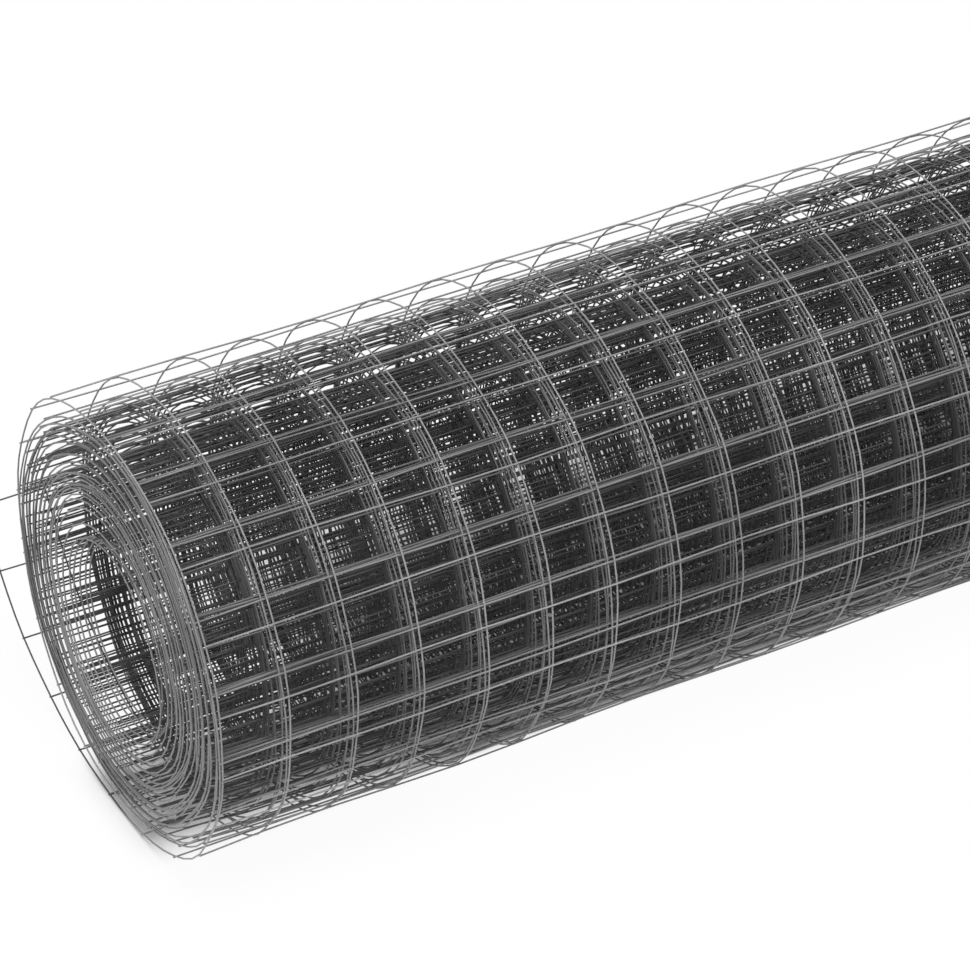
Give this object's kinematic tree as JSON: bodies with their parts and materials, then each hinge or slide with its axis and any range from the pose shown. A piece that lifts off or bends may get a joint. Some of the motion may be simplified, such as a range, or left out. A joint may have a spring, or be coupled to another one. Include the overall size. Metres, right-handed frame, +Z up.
{
  "type": "roll of wire fencing",
  "caption": "Roll of coated square welded wire mesh lying on its side, with an open bore, a loose outer turn and a free end that opens out behind it, for fencing runs, cages and guards.",
  "frame": {"origin": "centre of the roll's box on the floor that it lies on", "axes": "+X along the roll, from the end that faces the picture's camera to the far end; +Y towards the back, where the free end opens out; +Z up"},
  "size_m": [1, 0.1982, 0.1641],
  "materials": {
    "coated_wire": "satin grey plastic coating over steel wire, darker inside the roll"
  },
  "bodies": {
    "root": {"mesh_roll": "coated_wire"}
  },
  "joints": []
}
